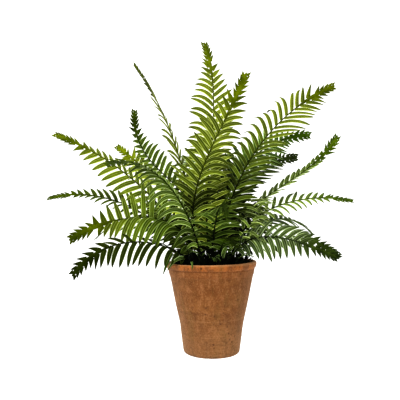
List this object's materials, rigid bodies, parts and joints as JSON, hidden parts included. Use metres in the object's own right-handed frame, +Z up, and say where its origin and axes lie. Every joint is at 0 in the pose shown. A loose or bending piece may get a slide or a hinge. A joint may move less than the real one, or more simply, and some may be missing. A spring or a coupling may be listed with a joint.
{
  "type": "potted boston fern",
  "caption": "Artificial boston fern with moulded arching fronds standing in dark filler in a round terracotta pot.",
  "frame": {"origin": "centre of the pot's flat foot, on the pot's axis", "axes": "+Z up along the pot's axis, -Y towards the front that the picture shows"},
  "size_m": [0.4922, 0.3785, 0.4972],
  "materials": {
    "terracotta": "unglazed, weathered",
    "filler": "dark crumbly moss and bark",
    "frond_bright": "satin moulded leaf",
    "frond_mid": "satin moulded leaf",
    "frond_dark": "satin moulded leaf"
  },
  "bodies": {
    "root": {"pot": "terracotta", "soil": "filler", "frond_01": "frond_bright", "frond_02": "frond_dark", "frond_03": "frond_bright", "frond_04": "frond_bright", "frond_05": "frond_mid", "frond_06": "frond_bright", "frond_07": "frond_bright", "frond_08": "frond_dark", "frond_09": "frond_bright", "frond_10": "frond_bright", "frond_11": "frond_bright", "frond_12": "frond_mid", "frond_13": "frond_dark", "frond_14": "frond_mid", "frond_15": "frond_mid", "frond_16": "frond_mid", "frond_17": "frond_dark", "frond_18": "frond_mid", "frond_19": "frond_mid", "frond_20": "frond_dark", "frond_21": "frond_mid", "frond_22": "frond_dark", "frond_23": "frond_bright", "frond_24": "frond_mid", "frond_25": "frond_bright", "frond_26": "frond_mid", "frond_27": "frond_dark"}
  },
  "joints": []
}
